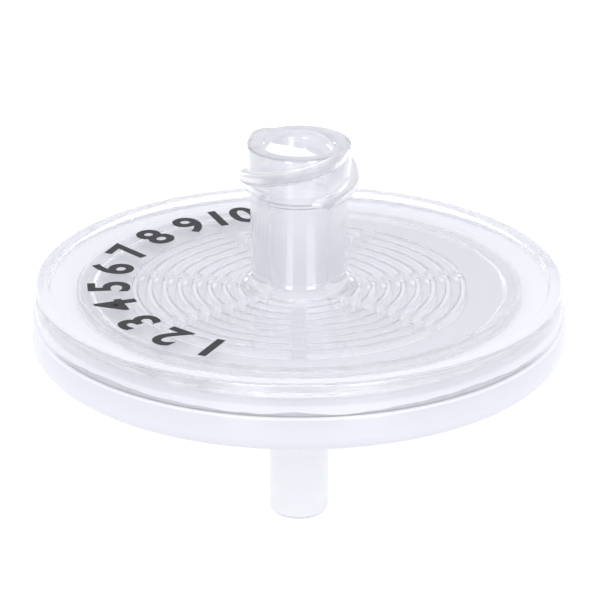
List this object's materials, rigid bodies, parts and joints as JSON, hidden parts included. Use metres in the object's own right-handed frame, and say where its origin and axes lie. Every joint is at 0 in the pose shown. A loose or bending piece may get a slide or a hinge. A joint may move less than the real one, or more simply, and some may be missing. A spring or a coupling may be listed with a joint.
{
  "type": "syringe filter",
  "caption": "Round disposable syringe filter: clear upper half with a threaded luer inlet and ribbed plate, milky lower half with a plain luer slip outlet.",
  "frame": {"origin": "centre of the female luer's mouth, on the filter's axis", "axes": "+Z along the filter's axis, out of the inlet's mouth towards the syringe; the outlet points along -Z; -Y is the front, where the marking starts"},
  "size_m": [0.0348, 0.0348, 0.0259],
  "materials": {
    "clear_plastic": "clear moulded plastic, gloss, faint lavender tint",
    "filter_membrane": "matte white porous film",
    "milky_plastic": "milky translucent moulded plastic, satin",
    "black_ink": "matte printed ink"
  },
  "bodies": {
    "root": {"inlet_housing": "clear_plastic", "membrane": "filter_membrane", "outlet_housing": "milky_plastic"}
  },
  "joints": []
}
